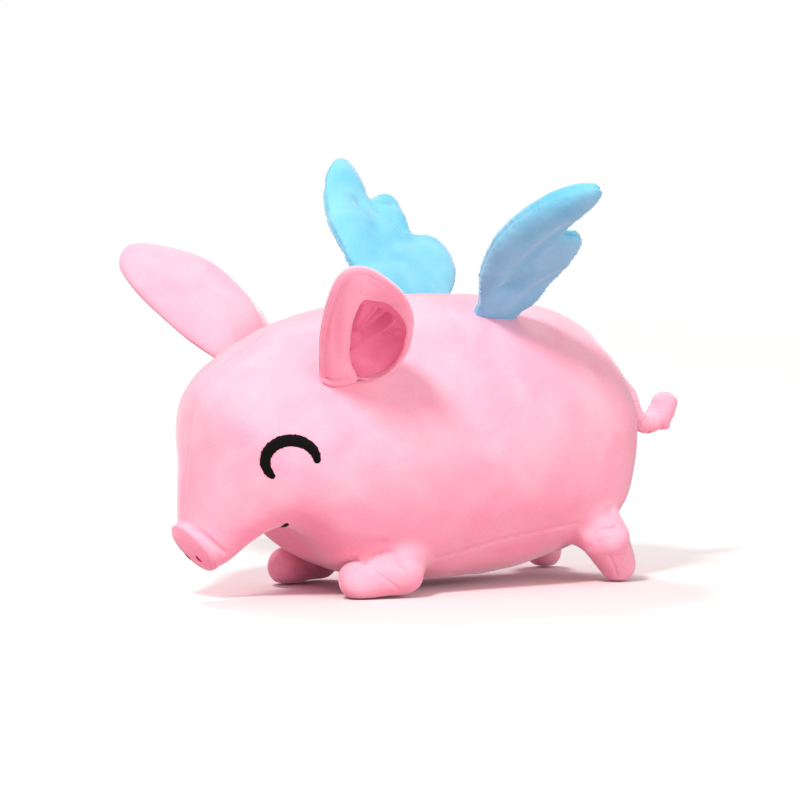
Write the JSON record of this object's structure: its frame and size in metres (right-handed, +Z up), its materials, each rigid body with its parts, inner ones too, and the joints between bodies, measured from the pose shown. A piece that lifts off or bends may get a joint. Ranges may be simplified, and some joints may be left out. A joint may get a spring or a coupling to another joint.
{
  "type": "plush pig with wings",
  "caption": "Plump velvet pig with a drooping muzzle and round snout disc, closed stitched eyes, cupped ears, stub legs, a curled tail and feathered wings on its back.",
  "frame": {"origin": "on the ground under the middle of the whole pig", "axes": "+Z up, -Y towards the snout, +X towards the pig's own left"},
  "size_m": [0.3378, 0.3762, 0.2738],
  "materials": {
    "body_velvet": "short-pile polyester velvet, pink",
    "lining_velvet": "short-pile polyester velvet, deeper pink",
    "wing_velvet": "short-pile polyester velvet, light blue",
    "black_thread": "satin-stitched embroidery thread, black",
    "magenta_thread": "satin-stitched embroidery thread, magenta",
    "fibre_filling": "loose polyester fibre, white"
  },
  "bodies": {
    "body": {"body_panel_left": "body_velvet", "body_panel_right": "body_velvet", "belly_gusset": "body_velvet", "body_filling": "fibre_filling", "snout_disc": "body_velvet", "nostril_left": "magenta_thread", "nostril_right": "magenta_thread", "eye_left": "black_thread", "eye_right": "black_thread", "mouth_left": "black_thread", "mouth_right": "black_thread"},
    "ear_left": {"ear_cover_left": "body_velvet", "ear_lining_left": "lining_velvet"},
    "ear_right": {"ear_cover_right": "body_velvet", "ear_lining_right": "lining_velvet"},
    "wing_left": {"wing_upper_panel_left": "wing_velvet", "wing_lower_panel_left": "wing_velvet"},
    "wing_right": {"wing_upper_panel_right": "wing_velvet", "wing_lower_panel_right": "wing_velvet"},
    "front_limb_left": {"front_leg_left": "body_velvet"},
    "front_limb_right": {"front_leg_right": "body_velvet"},
    "rear_limb_left": {"rear_leg_left": "body_velvet"},
    "rear_limb_right": {"rear_leg_right": "body_velvet"},
    "curl": {"tail": "body_velvet"}
  },
  "joints": [
    {"name": "ear_left_seam", "type": "hinge", "parent": "body", "child": "ear_left", "pos_m": [0.05935, -0.08276, 0.15326], "axis": [-0.2939, -0.8694, -0.3972], "range_deg": [-25, 25], "stiffness_Nm_per_rad": 0.08},
    {"name": "ear_right_seam", "type": "hinge", "parent": "body", "child": "ear_right", "pos_m": [-0.06662, -0.08276, 0.15326], "axis": [-0.2939, 0.8694, 0.3972], "range_deg": [-25, 25], "stiffness_Nm_per_rad": 0.08},
    {"name": "wing_left_seam", "type": "hinge", "parent": "body", "child": "wing_left", "pos_m": [0.0364, 0.03225, 0.17719], "axis": [0, -0.993, 0.1183], "range_deg": [-20, 30], "stiffness_Nm_per_rad": 0.12},
    {"name": "wing_right_seam", "type": "hinge", "parent": "body", "child": "wing_right", "pos_m": [-0.04367, 0.03225, 0.17719], "axis": [0, 0.993, -0.1183], "range_deg": [-20, 30], "stiffness_Nm_per_rad": 0.12},
    {"name": "front_limb_left_seam", "type": "hinge", "parent": "body", "child": "front_limb_left", "pos_m": [0.05034, -0.05273, 0.021], "axis": [1, 0, 0], "range_deg": [-10, 10]},
    {"name": "front_limb_right_seam", "type": "hinge", "parent": "body", "child": "front_limb_right", "pos_m": [-0.05761, -0.05273, 0.021], "axis": [1, 0, 0], "range_deg": [-10, 10]},
    {"name": "rear_limb_left_seam", "type": "hinge", "parent": "body", "child": "rear_limb_left", "pos_m": [0.05034, 0.10022, 0.03099], "axis": [1, 0, 0], "range_deg": [-10, 10]},
    {"name": "rear_limb_right_seam", "type": "hinge", "parent": "body", "child": "rear_limb_right", "pos_m": [-0.05761, 0.10022, 0.03099], "axis": [1, 0, 0], "range_deg": [-10, 10]},
    {"name": "curl_seam", "type": "hinge", "parent": "body", "child": "curl", "pos_m": [-0.00364, 0.13944, 0.12497], "axis": [0, 0, 1], "range_deg": [-25, 25], "stiffness_Nm_per_rad": 0.05}
  ]
}
